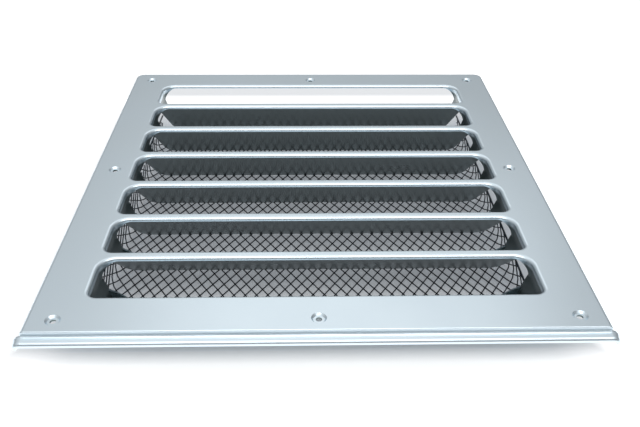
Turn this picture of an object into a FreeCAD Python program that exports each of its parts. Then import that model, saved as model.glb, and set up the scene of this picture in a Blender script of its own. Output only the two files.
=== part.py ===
"""Louvred cover panel pressed from one sheet, with a diamond mesh screen across its louvres.

Frame: origin at the centre of the screw pattern, in the plane where the screw heads bear.
+X runs to the right, +Y runs away from the drip ledge, and +Z points out of the front face.
The panel lies front face up, on the lower edges of its louvres and the mesh across them.
"""
import FreeCAD, Part
import math
import os

import Sketcher

SIZES = {
    # the sheet and its outline
    "sheet_thickness": 1.5,
    "panel_width": 399.0,
    "screw_span_x": 360.0,
    "screw_span_y": 415.0,
    "far_margin": 19.0,
    "near_margin": 12.0,
    "far_corner_radius": 9.0,
    "edge_radius": 3.0,
    "near_edge_radius": 0.8,
    "flange_depth": 8.0,
    # the drip ledge along the near edge
    "ledge_drop": 4.3,
    "ledge_fall": 1.4,
    "ledge_width": 6.2,
    "ledge_height": 8.6,
    "ledge_nose_radius": 2.6,
    "ledge_cove_radius": 1.2,
    "ear_inset": 1.0,
    "ear_radius": 7.0,
    "ear_angle": 78.0,
    # the louvres: slots in the face with drawn scoops below them
    "louvre_count": 7,
    "louvre_pitch": 54.6,
    "near_band": 34.2,
    "slot_width": 326.0,
    "slot_length": 48.5,
    "slot_near_radius": 7.0,
    "slot_far_radius": 13.0,
    "rim_radius": 3.0,
    "rim_lip": 3.0,
    "scoop_depth": 52.0,
    "scoop_draft_width": 8.0,
    "scoop_draft_height": 40.0,
    "scoop_side_radius": 20.0,
    "scoop_floor_radius": 10.0,
    "mouth_width": 325.4,
    "mouth_top_radius": 12.0,
    "mouth_bevel": 26.8,
    "mouth_side_radius": 20.0,
    "mouth_floor_radius": 68.0,
    # the pressed seats of the eight screws
    "screw_hole": 4.4,
    "seat_flat": 7.9,
    "seat_rim": 10.9,
    # the mesh
    "mesh_thickness": 1.0,
    "mesh_width": 341.0,
    "mesh_bend_radius": 6.0,
    "mesh_near_overhang": 12.0,
    "mesh_far_overhang": 1.5,
    "mesh_right_edge": 39.0,
    "mesh_left_near_edge": 19.0,
    "mesh_left_far_edge": 38.0,
    "mesh_gap_x": 36.0,
    "mesh_gap_y": 56.8,
    "mesh_strand": 4.0,
    "mesh_columns": 9,
    "mesh_rows": 6,
}

document = FreeCAD.newDocument("louvred_panel")
sheet = document.addObject("Spreadsheet::Sheet", "Sizes")
for row, (alias, number) in enumerate(SIZES.items(), start=1):
    sheet.set(f"A{row}", alias)
    sheet.set(f"B{row}", str(number))
    sheet.setAlias(f"B{row}", alias)
document.recompute()


class Size:
    """A length that carries its value and the sheet formula that keeps it up to date."""

    def __init__(self, value, formula):
        self.value = float(value)
        self.formula = formula

    @staticmethod
    def of(other):
        return other if isinstance(other, Size) else Size(other, repr(other))

    def __add__(self, other):
        other = Size.of(other)
        return Size(self.value + other.value, f"({self.formula} + {other.formula})")

    def __sub__(self, other):
        other = Size.of(other)
        return Size(self.value - other.value, f"({self.formula} - {other.formula})")

    def __mul__(self, other):
        other = Size.of(other)
        return Size(self.value * other.value, f"({self.formula} * {other.formula})")

    def __truediv__(self, other):
        other = Size.of(other)
        return Size(self.value / other.value, f"({self.formula} / {other.formula})")

    def __neg__(self):
        return Size(-self.value, f"(-1 * {self.formula})")


def size(alias):
    return Size(sheet.get(alias), f"{sheet.Name}.{alias}")


def origin_plane(body, role):
    return next(plane for plane in body.Origin.OriginFeatures if plane.Role == role)


def new_sketch(body, name, role, height=None):
    """A sketch on one of the body's origin planes, lifted along the plane's normal by height."""
    sketch = body.newObject("Sketcher::SketchObject", name)
    sketch.AttachmentSupport = [(origin_plane(body, role), "")]
    sketch.MapMode = "FlatFace"
    if height is not None:
        sketch.AttachmentOffset = FreeCAD.Placement(FreeCAD.Vector(0, 0, height.value), FreeCAD.Rotation())
        sketch.setExpression("AttachmentOffset.Base.z", height.formula)
    return sketch


def place_point(sketch, index, x, y):
    """Hold a sketch point at the given place from the sketch's origin."""
    for kind, distance in (("DistanceX", x), ("DistanceY", y)):
        held = sketch.addConstraint(Sketcher.Constraint(kind, -1, 1, index, 1, distance.value))
        sketch.setExpression(f"Constraints[{held}]", distance.formula)


def draw_outline(sketch, corners):
    """A closed outline through corners (x, y) or (x, y, radius), with an arc at each radius."""
    corners = [tuple(Size.of(value) for value in corner) for corner in corners]
    places = [FreeCAD.Vector(corner[0].value, corner[1].value, 0) for corner in corners]
    count = len(corners)
    entry, leave, arcs, marks = [], [], [], []
    for i, corner in enumerate(corners):
        here, back, ahead = places[i], places[i - 1], places[(i + 1) % count]
        to_back, to_ahead = (back - here).normalize(), (ahead - here).normalize()
        if len(corner) == 2:
            entry.append(here)
            leave.append(here)
            arcs.append(None)
            continue
        half = to_back.getAngle(to_ahead) / 2
        run = corner[2].value / math.tan(half)
        middle = here + (to_back + to_ahead).normalize() * (corner[2].value * (1 / math.sin(half) - 1))
        entry.append(here + to_back * run)
        leave.append(here + to_ahead * run)
        arcs.append(Part.Arc(entry[-1], middle, leave[-1]))
    lines = [sketch.addGeometry(Part.LineSegment(leave[i], entry[(i + 1) % count])) for i in range(count)]
    for i, corner in enumerate(corners):
        marks.append(sketch.addGeometry(Part.Point(places[i]), True))
        place_point(sketch, marks[i], corner[0], corner[1])
    for i, corner in enumerate(corners):
        before, after = lines[i - 1], lines[i]
        if arcs[i] is None:
            sketch.addConstraint(Sketcher.Constraint("Coincident", before, 2, marks[i], 1))
            sketch.addConstraint(Sketcher.Constraint("Coincident", after, 1, marks[i], 1))
            continue
        sketch.addConstraint(Sketcher.Constraint("PointOnObject", marks[i], 1, before))
        sketch.addConstraint(Sketcher.Constraint("PointOnObject", marks[i], 1, after))
        arc = sketch.addGeometry(arcs[i])
        start = sketch.getPoint(arc, 1)
        first, last = (1, 2) if start.distanceToPoint(entry[i]) < 1e-6 else (2, 1)
        sketch.addConstraint(Sketcher.Constraint("Tangent", before, 2, arc, first))
        sketch.addConstraint(Sketcher.Constraint("Tangent", after, 1, arc, last))
        held = sketch.addConstraint(Sketcher.Constraint("Radius", arc, corner[2].value))
        sketch.setExpression(f"Constraints[{held}]", corner[2].formula)


def draw_circles(sketch, centres, diameter):
    for x, y in centres:
        circle = Part.Circle(FreeCAD.Vector(x.value, y.value, 0), FreeCAD.Vector(0, 0, 1), diameter.value / 2)
        index = sketch.addGeometry(circle)
        for kind, distance in (("DistanceX", x), ("DistanceY", y)):
            held = sketch.addConstraint(Sketcher.Constraint(kind, -1, 1, index, 3, distance.value))
            sketch.setExpression(f"Constraints[{held}]", distance.formula)
        held = sketch.addConstraint(Sketcher.Constraint("Diameter", index, diameter.value))
        sketch.setExpression(f"Constraints[{held}]", diameter.formula)


def extrude(body, kind, sketch, length, reverse=False, both=False, taper=None):
    """A Pad or Pocket of a sketch; both sides of it where asked, or with drafted walls."""
    feature = body.newObject(f"PartDesign::{kind}", f"{sketch.Name}_{kind}")
    feature.Profile = sketch
    feature.Length = length.value
    feature.setExpression("Length", length.formula)
    feature.Reversed = reverse
    feature.Midplane = both
    if taper is not None:
        feature.TaperAngle = taper
    sketch.Visibility = False
    document.recompute()
    return feature


def fillet(body, name, radius, chosen):
    """Round every edge of the body's newest shape for which chosen(edge) holds."""
    base = body.Tip
    edges = [f"Edge{i}" for i, edge in enumerate(base.Shape.Edges, start=1) if chosen(edge)]
    feature = body.newObject("PartDesign::Fillet", name)
    feature.Base = (base, edges)
    feature.Radius = radius.value
    feature.setExpression("Radius", radius.formula)
    document.recompute()
    return feature


def repeat_body(body, name, role, pitch, count, reverse=False):
    """Repeat the body's whole shape along one of its origin axes."""
    pattern = body.newObject("PartDesign::LinearPattern", name)
    pattern.TransformMode = "Whole shape"
    axis = next(line for line in body.Origin.OriginFeatures if line.Role == role)
    pattern.Direction = (axis, [""])
    pattern.Reversed = reverse
    pattern.Mode = "Spacing"
    pattern.Offset = pitch.value
    pattern.setExpression("Offset", pitch.formula)
    pattern.Occurrences = int(count.value)
    pattern.setExpression("Occurrences", count.formula)
    body.Tip = pattern
    document.recompute()
    return pattern


# ---- places worked out from the driving sizes -------------------------------------------------

skin = size("sheet_thickness")
half_width = size("panel_width") / 2
near_edge = -(size("screw_span_y") / 2 + size("near_margin"))
far_edge = size("screw_span_y") / 2 + size("far_margin")
slot_near = near_edge + size("near_band")
slot_half = size("slot_width") / 2
mouth_plane = size("slot_length") + skin
seat_depth = (size("seat_rim") - size("seat_flat")) / 2
blade_slope = size("scoop_depth") / mouth_plane
blade_lean = math.hypot(1.0, blade_slope.value)
draft_width, draft_height = size("scoop_draft_width"), size("scoop_draft_height")
draft_length = math.hypot(draft_width.value, draft_height.value)


def trough_corners(grow):
    """The lower right half of the scoop's cross-section, grown outwards by a wall of that thickness."""
    depth = size("scoop_depth")
    down = grow * ((draft_length - draft_height.value) / draft_width.value)
    out = grow * ((draft_length - draft_width.value) / draft_height.value)
    return [
        (slot_half + grow, draft_height - depth - down, size("scoop_side_radius") + grow),
        (slot_half - draft_width + out, -(depth + grow), size("scoop_floor_radius") + grow),
    ]


def mirrored(corners):
    return [(-corner[0],) + corner[1:] for corner in corners]


# ---- scoops: the drawn pockets, as an outer skin and an inner space ------------------------------

# a cutting block goes this far past what it cuts
REACH = 12.0
# a face that must not lie on another stands this far off
CLEAR = 0.5
# places nearer than this count as one
TOUCH = 1e-4
# how far the screw seats' outer and inner walls lean out, in degrees
BOSS_TAPER = -35.0
RECESS_TAPER = -45.0


def trim_scoop(body, grow):
    """Cut a scoop's block back to the sloping blade and to the rounded lower corners."""
    side = slot_half + grow
    top = -size("scoop_depth") / 5
    below = -(size("scoop_depth") + REACH)
    far = mouth_plane + skin

    blade = new_sketch(body, f"{body.Name}_blade_line", "YZ_Plane")
    drop = grow * blade_lean
    back = size("rim_radius") + CLEAR
    start = slot_near - drop / blade_slope
    draw_outline(blade, [
        (slot_near - back, Size.of(0)),
        (start, Size.of(0)),
        (slot_near + far, -(far * blade_slope + drop)),
        (slot_near + far, below),
        (slot_near - back, below),
    ])
    extrude(body, "Pocket", blade, (side + REACH) * 2, both=True)

    corners = new_sketch(body, f"{body.Name}_lower_corners", "XZ_Plane")
    trough = trough_corners(grow)
    draw_outline(corners, [
        (-(side + REACH), top),
        (-side, top),
        *mirrored(trough),
        *trough[::-1],
        (side, top),
        (side + REACH, top),
        (side + REACH, below),
        (-(side + REACH), below),
    ])
    extrude(body, "Pocket", corners, -(slot_near - REACH) * 2, both=True)


def scoop_outline(near, grow):
    """The slot's plan from its near edge, grown outwards; its far corners are the rounder ones."""
    side = slot_half + grow
    far = slot_near + size("slot_length") + grow
    near_radius = size("slot_near_radius") + grow
    far_radius = size("slot_far_radius") + grow
    return [
        (-side, near, near_radius),
        (side, near, near_radius),
        (side, far, far_radius),
        (-side, far, far_radius),
    ]


def make_scoop_skins():
    body = document.addObject("PartDesign::Body", "scoop_skins")
    plan = new_sketch(body, "skin_plan", "XY_Plane", -skin / 2)
    draw_outline(plan, scoop_outline(slot_near - skin, skin))
    extrude(body, "Pad", plan, size("scoop_depth") + REACH / 2, reverse=True)
    trim_scoop(body, skin)
    repeat_body(body, "skin_row", "Y_Axis", size("louvre_pitch"), size("louvre_count"))
    return body


def make_scoop_spaces():
    body = document.addObject("PartDesign::Body", "scoop_spaces")
    cap = new_sketch(body, "space_cap", "XY_Plane")
    draw_outline(cap, [corner[:2] for corner in scoop_outline(slot_near - CLEAR, size("rim_radius") + CLEAR)])
    extrude(body, "Pad", cap, skin)

    plan = new_sketch(body, "space_plan", "XY_Plane")
    draw_outline(plan, scoop_outline(slot_near + size("rim_radius"), Size.of(0)))
    extrude(body, "Pad", plan, size("scoop_depth") + REACH / 2, reverse=True)

    def on_rim(edge):
        box = edge.BoundBox
        inside = max(abs(box.XMin), abs(box.XMax)) < slot_half.value + TOUCH
        return abs(box.ZMin) < TOUCH and abs(box.ZMax) < TOUCH and inside
    fillet(body, "rim_round", size("rim_radius"), on_rim)

    mouth = new_sketch(body, "mouth", "XZ_Plane", -(slot_near + size("slot_length") / 2))
    side, bevel, floor = size("mouth_width") / 2, size("mouth_bevel"), -size("scoop_depth")
    right = [
        (side, -size("rim_lip"), size("mouth_top_radius")),
        (side, floor + bevel, size("mouth_side_radius")),
        (side - bevel, floor, size("mouth_floor_radius")),
    ]
    draw_outline(mouth, [*right, *mirrored(right)[::-1]])
    extrude(body, "Pad", mouth, size("slot_length") / 2 + skin + CLEAR, reverse=True)
    trim_scoop(body, Size.of(0))
    repeat_body(body, "space_row", "Y_Axis", size("louvre_pitch"), size("louvre_count"))
    return body


# ---- the panel: a tray pressed from the sheet, with the scoops, screw seats and drip ledge --------

def level_edges(height, near):
    """A test for the edges that lie wholly at one height: the near one, or all the others."""
    def chosen(edge):
        box = edge.BoundBox
        level = max(abs(box.ZMin - height), abs(box.ZMax - height)) < TOUCH
        return level and (box.YMax < (near_edge + skin).value + TOUCH) == near
    return chosen


def tray_outline(inset):
    """The panel's plan, drawn in by inset, with rounded far corners."""
    side = half_width - inset
    return [
        (-side, near_edge + inset),
        (side, near_edge + inset),
        (side, far_edge - inset, size("far_corner_radius") - inset),
        (-side, far_edge - inset, size("far_corner_radius") - inset),
    ]


def ledge_outline():
    """The drip ledge's section, in Y and Z: down from the face, a cove, the ledge, a rounded nose."""
    step = -size("ledge_drop")
    fallen = step - size("ledge_fall")
    front = near_edge - size("ledge_width")
    back = near_edge + skin
    foot = -size("ledge_height")
    return [
        (back, step + skin),
        (near_edge, step + skin),
        (near_edge, step, size("ledge_cove_radius")),
        (front, fallen, size("ledge_nose_radius")),
        (front, foot),
        (front + skin, foot),
        (front + skin, fallen - skin, size("ledge_nose_radius") - skin),
        (back, step - skin, size("ledge_cove_radius") + skin),
    ]


def ear_outline():
    """The section of the ears that carry the ledge round and down past both sides."""
    step = -size("ledge_drop")
    fallen = step - size("ledge_fall")
    front = near_edge - size("ledge_width")
    foot = -size("ledge_height")
    return [
        (near_edge + skin, step),
        (near_edge, step),
        (front, fallen, size("ledge_nose_radius")),
        (front, foot),
        (front + skin, foot),
        (front + skin, fallen - skin, size("ledge_nose_radius") - skin),
        (near_edge + skin, step - skin),
    ]


def add_ear(body, name, side, reverse):
    """Turn the ledge's section down through most of a quarter circle beyond one side."""
    section = new_sketch(body, name, "YZ_Plane", side)
    draw_outline(section, ear_outline())
    level = -size("ledge_drop") - size("ear_radius")
    axis = section.addGeometry(Part.LineSegment(
        FreeCAD.Vector(near_edge.value, level.value, 0), FreeCAD.Vector(0, level.value, 0)), True)
    section.addConstraint(Sketcher.Constraint("Horizontal", axis))
    held = section.addConstraint(Sketcher.Constraint("DistanceY", -1, 1, axis, 2, level.value))
    section.setExpression(f"Constraints[{held}]", level.formula)
    ear = body.newObject("PartDesign::Revolution", f"{name}_turn")
    ear.Profile = section
    ear.ReferenceAxis = (section, ["Axis0"])
    ear.Angle = size("ear_angle").value
    ear.setExpression("Angle", size("ear_angle").formula)
    ear.Reversed = reverse
    document.recompute()


def join(body, name, kind, tool):
    feature = body.newObject("PartDesign::Boolean", name)
    feature.Type = kind
    feature.setObjects([tool])
    document.recompute()


def make_panel():
    body = document.addObject("PartDesign::Body", "louvre_panel")
    blank = new_sketch(body, "blank", "XY_Plane")
    draw_outline(blank, tray_outline(Size.of(0)))
    extrude(body, "Pad", blank, size("flange_depth"), reverse=True)
    fillet(body, "outer_bend", size("edge_radius"), level_edges(0.0, False))
    fillet(body, "near_bend", size("near_edge_radius"), level_edges(0.0, True))
    hollow = new_sketch(body, "hollow", "XY_Plane", -size("flange_depth"))
    draw_outline(hollow, tray_outline(skin))
    extrude(body, "Pocket", hollow, size("flange_depth") - skin, reverse=True)
    fillet(body, "inner_bend", size("edge_radius") - skin, level_edges(-skin.value, False))
    # the near wall is cut away below the face, and the ledge takes its place
    notch = new_sketch(body, "near_notch", "YZ_Plane")
    draw_outline(notch, [
        (near_edge - CLEAR, skin - size("ledge_drop")),
        (near_edge + skin, skin - size("ledge_drop")),
        (near_edge + skin, -size("flange_depth") - CLEAR),
        (near_edge - CLEAR, -size("flange_depth") - CLEAR),
    ])
    extrude(body, "Pocket", notch, size("panel_width"), both=True)
    ledge = new_sketch(body, "ledge", "YZ_Plane")
    draw_outline(ledge, ledge_outline())
    ledge_end = half_width - size("ear_inset")
    extrude(body, "Pad", ledge, ledge_end * 2, both=True)
    add_ear(body, "right_ear", ledge_end, False)
    add_ear(body, "left_ear", -ledge_end, True)
    join(body, "scoops", "Fuse", scoop_skins)
    add_screw_seats(body)
    join(body, "slots", "Cut", scoop_spaces)
    return body


def add_screw_seats(body):
    """Press the eight screw seats below the face and pierce them."""
    across, along = size("screw_span_x") / 2, size("screw_span_y") / 2
    middle = Size.of(0)
    centres = [(x, y) for y in (-along, middle, along) for x in (-across, middle, across)]
    centres.remove((middle, middle))
    boss = new_sketch(body, "seat_bosses", "XY_Plane", -skin / 2)
    draw_circles(boss, centres, size("seat_rim") + skin)
    extrude(body, "Pad", boss, seat_depth + skin / 2, reverse=True, taper=BOSS_TAPER)
    recess = new_sketch(body, "seat_recesses", "XY_Plane")
    draw_circles(recess, centres, size("seat_rim"))
    extrude(body, "Pocket", recess, seat_depth, taper=RECESS_TAPER)
    hole = new_sketch(body, "screw_holes", "XY_Plane")
    draw_circles(hole, centres, size("screw_hole"))
    extrude(body, "Pocket", hole, seat_depth + skin * 2)


# ---- the mesh: one sheet of diamonds laid across the scoops and turned up at both ends -------------

def cut_diamonds(body, name, column, line, columns, rows):
    """Pierce one diamond by its place in the grid, then repeat it across and along the mesh."""
    wide, high = size("mesh_gap_x"), size("mesh_gap_y")
    reach = math.hypot(wide.value, high.value) / (wide.value * high.value)
    open_x = wide / 2 - size("mesh_strand") * reach * wide / 2
    open_y = high / 2 - size("mesh_strand") * reach * high / 2
    x = -(wide * size("mesh_columns")) / 2 + wide * column
    y = mesh_near + high * line
    sketch = new_sketch(body, name, "XY_Plane", -(size("scoop_depth") + REACH))
    draw_outline(sketch, [(x - open_x, y), (x, y - open_y), (x + open_x, y), (x, y + open_y)])
    cut = extrude(body, "Pocket", sketch, size("scoop_depth"), reverse=True)
    grid = body.newObject("PartDesign::LinearPattern", f"{name}_grid")
    grid.Originals = [cut]
    lines = {line.Role: line for line in body.Origin.OriginFeatures}
    for role, number, pitch, count in (("X_Axis", "", wide, columns), ("Y_Axis", "2", high, rows)):
        setattr(grid, f"Direction{number}", (lines[role], [""]))
        setattr(grid, f"Mode{number}", "Spacing")
        setattr(grid, f"Offset{number}", pitch.value)
        grid.setExpression(f"Offset{number}", pitch.formula)
        setattr(grid, f"Occurrences{number}", int(count.value))
        setattr(grid, f"Spacings{number}", [-1.0] * (int(count.value) - 1))
        grid.setExpression(f"Occurrences{number}", count.formula)
    body.Tip = grid
    document.recompute()


def mesh_corners(inset):
    """The lower right half of the mesh tray's section, drawn in by inset."""
    return [(size("mesh_width") / 2 - inset, mesh_floor + inset, size("mesh_bend_radius") - inset)]


def make_mesh():
    """A flat tray of mesh under the scoops, its ends turned up and cut at their own heights."""
    body = document.addObject("PartDesign::Body", "mesh_screen")
    outer, inner = mesh_corners(Size.of(0)), mesh_corners(size("mesh_thickness"))
    top = -size("mesh_left_near_edge")
    section = new_sketch(body, "mesh_section", "XZ_Plane", -mesh_near)
    draw_outline(section, [
        (-inner[0][0], top),
        *mirrored(inner),
        *inner,
        (inner[0][0], top),
        (outer[0][0], top),
        *outer,
        *mirrored(outer),
        (-outer[0][0], top),
    ])
    extrude(body, "Pad", section, mesh_far - mesh_near, reverse=True)
    for name, side, near_top, far_top in (
            ("right_end", slot_half, size("mesh_right_edge"), size("mesh_right_edge")),
            ("left_end", -slot_half - REACH, size("mesh_left_near_edge"), size("mesh_left_far_edge"))):
        end = new_sketch(body, name, "YZ_Plane", side)
        draw_outline(end, [
            (mesh_near - CLEAR, -near_top),
            (mesh_near - CLEAR, top + CLEAR),
            (mesh_far + CLEAR, top + CLEAR),
            (mesh_far + CLEAR, -far_top),
        ])
        extrude(body, "Pocket", end, Size.of(REACH), reverse=True)
    columns, rows = size("mesh_columns"), size("mesh_rows")
    cut_diamonds(body, "gap", 0.5, 0.5, columns, rows)
    cut_diamonds(body, "between_gap", 1.0, 1.0, columns - 1, rows - 1)
    return body


mesh_floor = -(size("scoop_depth") + skin + size("mesh_thickness"))
mesh_near = slot_near + mouth_plane - size("mesh_near_overhang")
mesh_far = (slot_near + mouth_plane + size("louvre_pitch") * (size("louvre_count") - 1)
            + size("mesh_far_overhang"))

scoop_skins = make_scoop_skins()
scoop_spaces = make_scoop_spaces()
nodes = [make_panel(), make_mesh()]

for item in document.Objects:
    if "Invalid" in item.State or "Error" in item.State:
        raise RuntimeError(f"{item.Label} failed: {item.State}")

os.makedirs("parts", exist_ok=True)
for node in nodes:
    # the bodies are drawn from the front face down, so they are lifted by the depth of a screw seat
    node.Placement = FreeCAD.Placement(FreeCAD.Vector(0, 0, seat_depth.value), FreeCAD.Rotation())
    node.setExpression("Placement.Base.z", seat_depth.formula)
    document.recompute()
    shape = node.Shape
    if shape.isNull() or not shape.isValid() or len(shape.Solids) != 1:
        raise RuntimeError(f"{node.Label} isn't one valid solid")
    shape.exportStep(f"parts/{node.Label}.step")
    box = shape.BoundBox
    print(f"{node.Label}: {shape.Volume / 1000:.1f} cm3, "
          f"{box.XLength:.1f} x {box.YLength:.1f} x {box.ZLength:.1f} mm, {len(shape.Faces)} faces")
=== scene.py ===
"""Looks of the louvred panel: a satin silver pressed sheet with a dark diamond mesh behind its louvres."""
import math

import bpy
from mathutils import Matrix, Vector


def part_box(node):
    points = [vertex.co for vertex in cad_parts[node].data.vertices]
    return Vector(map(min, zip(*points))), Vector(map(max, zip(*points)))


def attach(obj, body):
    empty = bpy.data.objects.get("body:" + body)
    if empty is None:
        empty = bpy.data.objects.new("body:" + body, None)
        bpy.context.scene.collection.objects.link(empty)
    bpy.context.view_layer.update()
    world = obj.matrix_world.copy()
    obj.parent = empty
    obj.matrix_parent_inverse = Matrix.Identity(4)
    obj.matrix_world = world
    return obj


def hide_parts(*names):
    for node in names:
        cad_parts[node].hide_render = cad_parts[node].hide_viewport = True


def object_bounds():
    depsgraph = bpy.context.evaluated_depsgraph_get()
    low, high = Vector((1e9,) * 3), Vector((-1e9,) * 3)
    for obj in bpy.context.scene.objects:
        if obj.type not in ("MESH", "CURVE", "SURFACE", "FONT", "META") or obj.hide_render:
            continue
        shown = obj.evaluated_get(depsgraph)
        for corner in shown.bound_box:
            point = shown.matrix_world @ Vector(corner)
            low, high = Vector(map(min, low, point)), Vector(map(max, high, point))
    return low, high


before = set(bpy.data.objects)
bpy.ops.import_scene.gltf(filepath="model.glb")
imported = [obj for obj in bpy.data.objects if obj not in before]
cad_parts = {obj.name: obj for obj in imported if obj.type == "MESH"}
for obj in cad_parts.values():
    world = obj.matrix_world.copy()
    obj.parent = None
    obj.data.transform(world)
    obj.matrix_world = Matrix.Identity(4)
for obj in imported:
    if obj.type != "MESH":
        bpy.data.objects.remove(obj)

bounds_at_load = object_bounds()
lowest, highest = (Vector(corner) for corner in bounds_at_load)
scene = bpy.context.scene


# ---- camera: above the drip ledge, looking along the louvres' slope -------------------------------
# The picture is 640 by 427, with the lens of a short telephoto on a 36 mm frame.

CAMERA_PLACE = Vector((-0.0126, -0.6021, 0.3386))
LOOK = Vector((0.0266, 0.8418, -0.5392))
RIGHT = Vector((0.9996, -0.0253, 0.0098))
FOCAL_LENGTH = 42.44

camera = bpy.data.objects.new("camera", bpy.data.cameras.new("camera"))
scene.collection.objects.link(camera)
camera.data.lens = FOCAL_LENGTH
camera.data.sensor_width = 36.0
upward = RIGHT.cross(LOOK).normalized()
across = LOOK.cross(upward).normalized()
turn = Matrix((across, upward, -LOOK.normalized())).transposed()
camera.matrix_world = Matrix.Translation(CAMERA_PLACE) @ turn.to_4x4()
scene.camera = camera
scene.view_settings.view_transform = "Standard"


# ---- shader writing: sockets that can be added up, and one way to make a node ----------------------

class Wire:
    """A shader socket with ordinary arithmetic, in the tree that it belongs to."""

    def __init__(self, tree, socket):
        self.tree = tree
        self.socket = socket

    def math(self, operation, other=0.0, clamp=False):
        node = self.tree.nodes.new("ShaderNodeMath")
        node.operation = operation
        node.use_clamp = clamp
        feed(self.tree, node.inputs[0], self)
        feed(self.tree, node.inputs[1], other)
        return Wire(self.tree, node.outputs[0])

    def __add__(self, other):
        return self.math("ADD", other)

    def __sub__(self, other):
        return self.math("SUBTRACT", other)

    def __mul__(self, other):
        return self.math("MULTIPLY", other)

    def __truediv__(self, other):
        return self.math("DIVIDE", other)

    def power(self, exponent):
        return self.math("POWER", exponent)

    def clamped(self):
        return self.math("ADD", 0.0, clamp=True)


def feed(tree, socket, value):
    """Give a socket a wire or a plain value."""
    if isinstance(value, Wire):
        tree.links.new(value.socket, socket)
    else:
        socket.default_value = value


def node(tree, kind, output=0, settings=None, **inputs):
    """Make a node; the inputs are named by their sockets, with _ for a space."""
    made = tree.nodes.new(kind)
    for name, value in (settings or {}).items():
        setattr(made, name, value)
    for name, value in inputs.items():
        feed(tree, made.inputs[name.replace("_", " ")], value)
    return Wire(tree, made.outputs[output])


def new_material(name):
    material = bpy.data.materials.new(name)
    material.use_nodes = True
    tree = material.node_tree
    tree.nodes.clear()
    shader = tree.nodes.new("ShaderNodeBsdfPrincipled")
    output = tree.nodes.new("ShaderNodeOutputMaterial")
    tree.links.new(shader.outputs[0], output.inputs[0])
    return material, tree, shader


def mixed(tree, factor, first, second):
    """Blend two colours by a factor."""
    blend = tree.nodes.new("ShaderNodeMix")
    blend.data_type = "RGBA"
    feed(tree, blend.inputs[0], factor)
    feed(tree, blend.inputs[6], first)
    feed(tree, blend.inputs[7], second)
    return Wire(tree, blend.outputs[2])


# ---- panel: satin silver sheet, with painted shade where the scoops and holes turn away from the light ---
# The face is finely grained; the backs and end walls of the scoops, the faces turned down under the sheet and the
# walls of the screw holes are painted darker and greener as shade.

SILVER = (0.74, 0.85, 0.92, 1.0)
# The second colour is painted shade for the scoops' backs and end walls, the turned-down faces and the screw-hole
# walls.
SCOOP_PAINTED_SHADE = (0.135, 0.17, 0.175, 1.0)

sheet, tree, shader = new_material("panel_sheet")
place = node(tree, "ShaderNodeTexCoord", output=3)
normal = node(tree, "ShaderNodeNewGeometry", output=1)
facing = node(tree, "ShaderNodeSeparateXYZ", output=2, Vector=normal)
height = node(tree, "ShaderNodeSeparateXYZ", output=2, Vector=place)
across = node(tree, "ShaderNodeSeparateXYZ", output=0, Vector=place).math("ABSOLUTE")
along = node(tree, "ShaderNodeSeparateXYZ", output=1, Vector=place).math("ABSOLUTE")
# Masks of painted shade: faces turned down below the top, scoop surfaces deeper than 3 mm except the blades' upper
# faces, and the upright walls of the screw holes.
turned_down = (facing * -4.0 - 0.4).clamped() * ((height * -1.0 - 0.001) * 400.0).clamped()
in_louvres = ((across * -1.0 + 0.172) * 500.0).clamped() * ((along * -1.0 + 0.200) * 500.0).clamped()
upturned = ((facing - 0.3) * 5.0).clamped()
deep = ((height * -1.0 - 0.003) * 500.0).clamped() * in_louvres * (upturned * -1.0 + 1.0)
upright = (facing.math("ABSOLUTE") * -8.0 + 2.0).clamped() * ((height + 0.0017) * 2000.0).clamped()
inside_edge = ((across * -1.0 + 0.190) * 500.0).clamped() * ((along * -1.0 + 0.2125) * 500.0).clamped()
pierced = upright * inside_edge * (in_louvres * -1.0 + 1.0)
shade = turned_down.math("MAXIMUM", deep).math("MAXIMUM", pierced)
cloud = node(tree, "ShaderNodeTexNoise", Vector=place, Scale=14.0, Detail=3.0)
grain = node(tree, "ShaderNodeTexNoise", Vector=place, Scale=2600.0, Detail=2.0)
silver = mixed(tree, (cloud - 0.35).clamped(), SILVER, (0.70, 0.81, 0.89, 1.0))
# Painted shade: the masked faces take the darker colour in place of their shadow.
feed(tree, shader.inputs["Base Color"], mixed(tree, shade, silver, SCOOP_PAINTED_SHADE))
feed(tree, shader.inputs["Roughness"], cloud * 0.08 + 0.25)
shader.inputs["Metallic"].default_value = 0.92
bump = tree.nodes.new("ShaderNodeBump")
bump.inputs["Strength"].default_value = 0.05
bump.inputs["Distance"].default_value = 0.0002
feed(tree, bump.inputs["Height"], grain)
tree.links.new(bump.outputs[0], shader.inputs["Normal"])

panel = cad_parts["louvre_panel"]
panel.data.materials.clear()
panel.data.materials.append(sheet)


# ---- mesh: dark diamonds of flat strand, laid in a trough under the scoops --------------------------
# The strands run as two families of slanting lines, on a flat tray whose two ends are turned up.

WIRE_RADIUS = 0.00054
DIAMOND_WIDE = 0.00928
DIAMOND_LONG = 0.0146
CUT_END_SWELL = 1.8
BEND_RADIUS = 0.0055
BEND_STEPS = 8
LEFT_NEAR_TOP = -0.0175
LEFT_FAR_TOP = -0.0365
RIGHT_TOP = -0.0375

mesh_low, mesh_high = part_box("mesh_screen")
sheet_middle = WIRE_RADIUS + 0.00015
trough_side = mesh_high.x - sheet_middle
trough_floor = mesh_low.z + sheet_middle


def trough_half():
    """The right half of the tray's section as (x, z), from the middle out and up."""
    bend_x, bend_z = trough_side - BEND_RADIUS, trough_floor + BEND_RADIUS
    points = [Vector((0.0, trough_floor))]
    for step in range(BEND_STEPS + 1):
        angle = math.pi / 2 * step / BEND_STEPS
        points.append(Vector((bend_x + BEND_RADIUS * math.sin(angle), bend_z - BEND_RADIUS * math.cos(angle))))
    points.append(Vector((trough_side, LEFT_NEAR_TOP)))
    return points


def run_length(points):
    return sum((b - a).length for a, b in zip(points, points[1:]))


half_section = trough_half()
whole_section = [Vector((-p.x, p.y)) for p in reversed(half_section[1:])] + half_section
half_run = run_length(half_section)
right_cut = half_run - (LEFT_NEAR_TOP - RIGHT_TOP)

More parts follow.
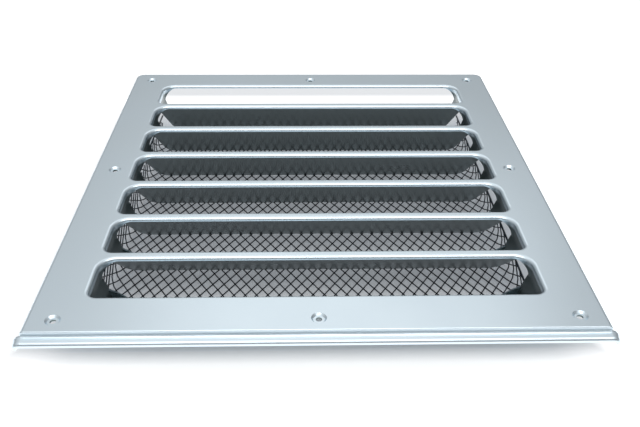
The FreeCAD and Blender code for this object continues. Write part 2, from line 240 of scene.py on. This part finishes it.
curve = bpy.data.curves.new("trough", "CURVE")
curve.dimensions = "3D"
spline = curve.splines.new("POLY")
spline.points.add(len(whole_section) - 1)
for point, place_on in zip(spline.points, whole_section):
    point.co = (place_on.x, 0.0, place_on.y, 1.0)
mesh_maker = bpy.data.objects.new("mesh_maker", curve)
scene.collection.objects.link(mesh_maker)

wire, tree, shader = new_material("mesh_wire")
place = node(tree, "ShaderNodeTexCoord", output=3)
spots = node(tree, "ShaderNodeTexNoise", Vector=place, Scale=420.0, Detail=2.0)
feed(tree, shader.inputs["Base Color"], mixed(tree, spots, (0.05, 0.06, 0.07, 1.0), (0.09, 0.10, 0.12, 1.0)))
feed(tree, shader.inputs["Roughness"], spots * 0.2 + 0.25)
shader.inputs["Metallic"].default_value = 0.9

group = bpy.data.node_groups.new("diamond_mesh", "GeometryNodeTree")
group.interface.new_socket("Geometry", in_out="INPUT", socket_type="NodeSocketGeometry")
for label, number in (("Diamond Wide", DIAMOND_WIDE), ("Diamond Long", DIAMOND_LONG), ("Wire Radius", WIRE_RADIUS)):
    group.interface.new_socket(label, in_out="INPUT", socket_type="NodeSocketFloat").default_value = number
group.interface.new_socket("Geometry", in_out="OUTPUT", socket_type="NodeSocketGeometry")
given = group.nodes.new("NodeGroupInput")
made = group.nodes.new("NodeGroupOutput")
wide = Wire(group, given.outputs["Diamond Wide"])
long = Wire(group, given.outputs["Diamond Long"])


def vector(x, y, z):
    return node(group, "ShaderNodeCombineXYZ", X=x, Y=y, Z=z)


near_line, far_line = mesh_low.y, mesh_high.y
rows = math.ceil((far_line - near_line) / DIAMOND_LONG * 2) + 1
slant_reach = (far_line - near_line) / DIAMOND_LONG * DIAMOND_WIDE
left_fall = (LEFT_NEAR_TOP - LEFT_FAR_TOP) / (far_line - near_line)
line_count = math.ceil((2 * half_run + slant_reach) / DIAMOND_WIDE) + 2


def strand_family(direction):
    """One family of slanting lines, cut to the sheet and laid on the trough."""
    start_x = -half_run - (slant_reach if direction > 0 else 0.0) - DIAMOND_WIDE / 4
    stations = node(group, "GeometryNodeMeshLine", Count=line_count, Start_Location=(start_x, near_line, 0.0),
                    Offset=vector(wide, 0.0, 0.0))
    one_line = node(group, "GeometryNodeMeshLine", Count=rows,
                    Offset=vector(wide * 0.5 * direction, long * 0.5, 0.0))
    lines = node(group, "GeometryNodeInstanceOnPoints", Points=stations, Instance=one_line)
    points = node(group, "GeometryNodeRealizeInstances", Geometry=lines)
    where = node(group, "GeometryNodeInputPosition")
    along = node(group, "ShaderNodeSeparateXYZ", output=0, Vector=where)
    away = node(group, "ShaderNodeSeparateXYZ", output=1, Vector=where)
    left_cut = (away - near_line) * left_fall - half_run
    outside = (along.math("GREATER_THAN", right_cut)
               + (along - left_cut).math("LESS_THAN", 0.0)
               + away.math("GREATER_THAN", far_line + 0.0001))
    kept = node(group, "GeometryNodeDeleteGeometry", Geometry=points, Selection=outside)
    on_curve = group.nodes.new("GeometryNodeSampleCurve")
    on_curve.mode = "LENGTH"
    on_curve.use_all_curves = True
    group.links.new(given.outputs["Geometry"], on_curve.inputs["Curves"])
    feed(group, on_curve.inputs["Length"], along + half_run)
    section = Wire(group, on_curve.outputs["Position"])
    x = node(group, "ShaderNodeSeparateXYZ", output=0, Vector=section)
    z = node(group, "ShaderNodeSeparateXYZ", output=2, Vector=section)
    laid = node(group, "GeometryNodeSetPosition", Geometry=kept, Position=vector(x, away, z))
    return node(group, "GeometryNodeMeshToCurve", Mesh=laid)


def edge_strip(x, near_top, far_top):
    """A straight strand along one cut end of the mesh."""
    return node(group, "GeometryNodeCurvePrimitiveLine", Start=(x, near_line, near_top), End=(x, far_line, far_top))


profile = node(group, "GeometryNodeCurvePrimitiveCircle", settings={"mode": "RADIUS"}, Resolution=6,
               Radius=Wire(group, given.outputs["Wire Radius"]))
stub_profile = node(group, "GeometryNodeCurvePrimitiveCircle", settings={"mode": "RADIUS"}, Resolution=6,
                    Radius=Wire(group, given.outputs["Wire Radius"]) * CUT_END_SWELL)
whole = group.nodes.new("GeometryNodeJoinGeometry")
for curves, round_of in (((strand_family(1), strand_family(-1)), profile),
                         ((edge_strip(-trough_side, LEFT_NEAR_TOP, LEFT_FAR_TOP),
                           edge_strip(trough_side, RIGHT_TOP, RIGHT_TOP)), stub_profile)):
    both = group.nodes.new("GeometryNodeJoinGeometry")
    for family in curves:
        group.links.new(family.socket, both.inputs[0])
    strands = node(group, "GeometryNodeCurveToMesh", Curve=Wire(group, both.outputs[0]), Profile_Curve=round_of,
                   Fill_Caps=True)
    group.links.new(strands.socket, whole.inputs[0])
smooth = node(group, "GeometryNodeSetShadeSmooth", Geometry=Wire(group, whole.outputs[0]), Shade_Smooth=True)
painted = node(group, "GeometryNodeSetMaterial", Geometry=smooth, Material=wire)
group.links.new(painted.socket, made.inputs[0])

modifier = mesh_maker.modifiers.new("diamond_mesh", "NODES")
modifier.node_group = group
bpy.context.view_layer.update()
built = bpy.data.meshes.new_from_object(mesh_maker.evaluated_get(bpy.context.evaluated_depsgraph_get()))
bpy.data.objects.remove(mesh_maker)
mesh_piece = bpy.data.objects.new("diamond_mesh", built)
scene.collection.objects.link(mesh_piece)
print("mesh faces", len(built.polygons))
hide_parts("mesh_screen")
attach(mesh_piece, "root")


# ---- studio: white floor under the mesh with a painted shadow about the panel, a broad overhead light and a pale surround ---

FLOOR_HALF = 4.0
floor_mesh = bpy.data.meshes.new("floor")
floor_mesh.from_pydata([(x * FLOOR_HALF, y * FLOOR_HALF, lowest.z - 0.0002)
                        for x, y in ((-1, -1), (1, -1), (1, 1), (-1, 1))], [], [(0, 1, 2, 3)])
floor = bpy.data.objects.new("floor", floor_mesh)
scene.collection.objects.link(floor)
paper, tree, shader = new_material("paper_floor")
shader.inputs["Base Color"].default_value = (0.70, 0.705, 0.71, 1.0)
place = node(tree, "ShaderNodeTexCoord", output=3)
# Painted shadow: the floor glows white for camera and glossy rays only outside the panel's outline, which is set wider
# on the left and near sides to paint a drop shadow there.
past_right = node(tree, "ShaderNodeSeparateXYZ", output=0, Vector=place) - 0.209
past_left = node(tree, "ShaderNodeSeparateXYZ", output=0, Vector=place) * -1.0 - 0.222
past_near = node(tree, "ShaderNodeSeparateXYZ", output=1, Vector=place) * -1.0 - 0.178
# Painted shadow beyond the far edge: the floor stays grey just past the far edge and in a strip from 0.292 to 0.338 m,
# white between and beyond.
away = node(tree, "ShaderNodeSeparateXYZ", output=1, Vector=place)
past_far = (away - 0.245).math("MINIMUM", away * -1.0 + 0.292).math("MAXIMUM", away - 0.338)
past_edge = past_right.math("MAXIMUM", past_left).math("MAXIMUM", past_near).math("MAXIMUM", past_far)
seen = (node(tree, "ShaderNodeLightPath", output=0) + node(tree, "ShaderNodeLightPath", output=3)
        + node(tree, "ShaderNodeLightPath", output=6)).clamped()
clear = (past_edge * 60.0).clamped() * seen
# The grey colour is painted shadow at the panel's sides and far edge, and dim painted light on the floor seen through
# the mesh; white is the backdrop.
feed(tree, shader.inputs["Emission Color"], mixed(tree, clear, (0.25, 0.265, 0.285, 1.0), (1.0, 1.0, 1.0, 1.0)))
shader.inputs["Emission Strength"].default_value = 0.75
shader.inputs["Roughness"].default_value = 0.9
shader.inputs["Specular IOR Level"].default_value = 0.1
floor_mesh.materials.append(paper)

world = bpy.data.worlds.new("surround")
scene.world = world
world.use_nodes = True
tree = world.node_tree
tree.nodes.clear()
ray = node(tree, "ShaderNodeTexCoord", output=0)
sideways = node(tree, "ShaderNodeSeparateXYZ", output=0, Vector=ray) * -1.0
from_front = node(tree, "ShaderNodeSeparateXYZ", output=1, Vector=ray) * -1.0
upwards = node(tree, "ShaderNodeSeparateXYZ", output=2, Vector=ray).math("ABSOLUTE")
toward_middle = (sideways * sideways * -7.0 + 1.0).math("MAXIMUM", 0.0)
front_dark = (from_front * 1.6 - upwards * 2.2 - 0.1).clamped() * -0.6 + 1.0
glow = (upwards * upwards * 0.75 + upwards * 0.28 + 0.33) * (toward_middle * 0.15 + sideways * 0.2 + 0.85) * front_dark
surround = tree.nodes.new("ShaderNodeBackground")
feed(tree, surround.inputs["Strength"], glow)
output = tree.nodes.new("ShaderNodeOutputWorld")
tree.links.new(surround.outputs[0], output.inputs[0])


def soft_light(name, place_at, aim, width, depth, power):
    lamp = bpy.data.objects.new(name, bpy.data.lights.new(name, "AREA"))
    lamp.data.shape = "RECTANGLE"
    lamp.data.size = width
    lamp.data.size_y = depth
    lamp.data.energy = power
    lamp.location = place_at
    lamp.rotation_euler = (Vector(aim) - Vector(place_at)).to_track_quat("-Z", "Y").to_euler()
    scene.collection.objects.link(lamp)


soft_light("front", (0.1, -0.78, 1.45), (0.0, 0.0, 0.0), 1.6, 0.8, 9.0)
soft_light("behind", (0.15, 1.7, 1.6), (0.0, 0.0, 0.0), 1.6, 1.0, 2.0)
